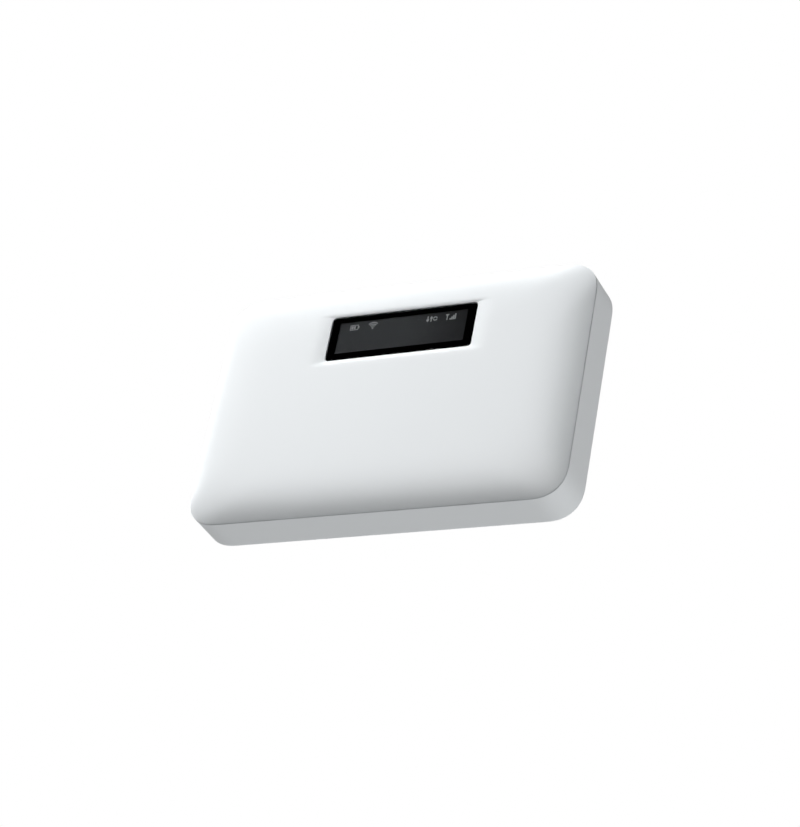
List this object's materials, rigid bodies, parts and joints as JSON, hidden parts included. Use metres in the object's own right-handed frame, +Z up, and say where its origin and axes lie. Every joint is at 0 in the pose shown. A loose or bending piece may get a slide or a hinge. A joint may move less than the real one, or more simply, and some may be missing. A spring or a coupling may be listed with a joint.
{
  "type": "mobile hotspot",
  "caption": "Pocket battery-powered mobile router: white rounded slab case with a crowned face, small dark display window, side power button, charging socket and snap-out battery door.",
  "frame": {"origin": "middle of the flat underside, on the surface that the hotspot lies on", "axes": "+Z up out of the crowned face; +X along the long side, away from the charging socket; +Y across, towards the display window's side"},
  "size_m": [0.107, 0.07, 0.0139],
  "materials": {
    "case_white": "satin moulded case plastic, white with a faint cool tint",
    "inner_plastic": "unpainted white moulding",
    "lens_clear": "glossy hard-coated lens over a dark display",
    "mask_black": "screen-printed opaque black",
    "tape_black": "foam adhesive tape",
    "lcd_glass": "liquid-crystal panel, unlit",
    "backlight": "light guide in a white frame",
    "bracket_steel": "stamped stainless sheet",
    "ribbon_amber": "polyimide flexible circuit",
    "connector_cream": "moulded connector body",
    "board_green": "solder-masked circuit board",
    "shield_tin": "tin-plated shield sheet",
    "chip_black": "moulded epoxy package",
    "passive_tan": "ceramic passive parts",
    "pad_grey": "soft thermal pad",
    "crystal_metal": "welded crystal can",
    "socket_steel": "drawn stainless shell",
    "contact_gold": "gold-plated contact",
    "switch_black": "moulded switch plastic",
    "card_white": "subscriber card body",
    "cell_wrap": "aluminium-laminate pouch under a pale grey film",
    "cap_black": "moulded battery end cap",
    "carrier_black": "moulded antenna carrier",
    "strip_copper": "printed copper antenna film",
    "screw_steel": "zinc-plated machine screw",
    "label_silver": "blank silvery paper label"
  },
  "bodies": {
    "case": {"rear_housing": "case_white", "front_cover": "case_white", "display_window": "lens_clear", "window_mask": "mask_black", "window_tape": "tape_black", "lcd_panel": "lcd_glass", "lcd_backlight": "backlight", "lcd_bracket": "bracket_steel", "lcd_connector": "connector_cream", "lcd_ribbon": "ribbon_amber", "main_board": "board_green", "modem_shield_frame": "shield_tin", "modem_shield_lid": "shield_tin", "radio_shield_frame": "shield_tin", "radio_shield_lid": "shield_tin", "modem_chip": "chip_black", "memory_chip": "chip_black", "power_chip": "chip_black", "radio_chip": "chip_black", "wifi_chip": "chip_black", "power_amplifiers": "chip_black", "thermal_pad": "pad_grey", "board_capacitors": "passive_tan", "power_inductors": "passive_tan", "clock_crystal": "crystal_metal", "usb_shell": "socket_steel", "usb_tongue": "switch_black", "usb_contacts": "contact_gold", "power_switch_body": "switch_black", "reset_switch_body": "switch_black", "sim_holder": "bracket_steel", "battery_connector": "cap_black", "battery_springs": "contact_gold", "main_antenna_carrier": "carrier_black", "main_antenna_strip": "strip_copper", "second_antenna_carrier": "carrier_black", "second_antenna_strip": "strip_copper", "wifi_antenna_carrier": "carrier_black", "wifi_antenna_strip": "strip_copper", "antenna_clips": "bracket_steel", "case_screws": "screw_steel", "rating_label": "label_silver"},
    "power_button": {"power_button": "case_white"},
    "power_plunger": {"power_switch_plunger": "switch_black"},
    "reset_plunger": {"reset_switch_plunger": "switch_black"},
    "battery_door": {"battery_door": "case_white"},
    "battery": {"battery_cell": "cell_wrap", "battery_cap": "cap_black", "battery_pads": "contact_gold"},
    "sim_card": {"sim_card": "card_white", "sim_contacts": "contact_gold"}
  },
  "joints": [
    {"name": "power_button_press", "type": "slide", "parent": "case", "child": "power_button", "axis": [0, -1, 0], "range_m": [0, 0.0003], "stiffness_N_per_m": 2000, "springref_m": -0.0003},
    {"name": "power_plunger_slide", "type": "slide", "parent": "case", "child": "power_plunger", "axis": [0, -1, 0], "range_m": [0, 0.0003]},
    {"name": "reset_plunger_press", "type": "slide", "parent": "case", "child": "reset_plunger", "axis": [1, 0, 0], "range_m": [0, 0.00025], "stiffness_N_per_m": 2000, "springref_m": -0.0003},
    {"name": "battery_door_lift", "type": "slide", "parent": "case", "child": "battery_door", "axis": [0, 0, -1], "range_m": [0, 0.025]},
    {"name": "battery_lift", "type": "slide", "parent": "case", "child": "battery", "axis": [0, 0, -1], "range_m": [0, 0.0125]},
    {"name": "sim_card_slide", "type": "slide", "parent": "case", "child": "sim_card", "axis": [0, -1, 0], "range_m": [0, 0.01]}
  ],
  "couplings": [
    {"joint": "power_plunger_slide", "follows": "power_button_press", "ratio": 1},
    {"joint": "battery_lift", "follows": "battery_door_lift", "ratio": 0.5}
  ]
}
